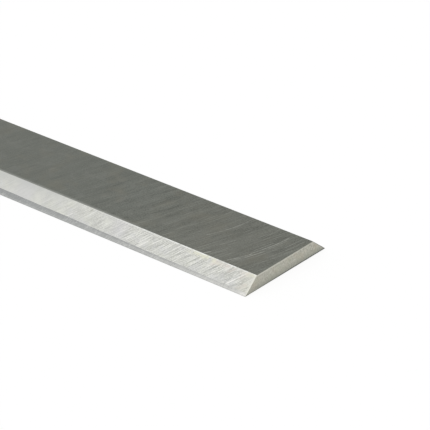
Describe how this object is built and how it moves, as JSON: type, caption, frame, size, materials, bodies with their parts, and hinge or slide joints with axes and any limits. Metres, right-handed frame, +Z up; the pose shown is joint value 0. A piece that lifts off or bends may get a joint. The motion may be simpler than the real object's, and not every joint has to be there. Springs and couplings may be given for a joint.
{
  "type": "planer knife",
  "caption": "Flat steel bar with both long sides ground to cutting edges, each with a narrow honed land, for clamping in a planer's cutter head.",
  "frame": {"origin": "middle of the wide face that the knife lies on", "axes": "+X along the bar towards the end that the picture shows, +Y across the bar, +Z up from the wide face to the narrow one"},
  "size_m": [0.3302, 0.0234, 0.0032],
  "materials": {
    "ground_steel": "ground"
  },
  "bodies": {
    "root": {"planer_knife": "ground_steel"}
  },
  "joints": []
}
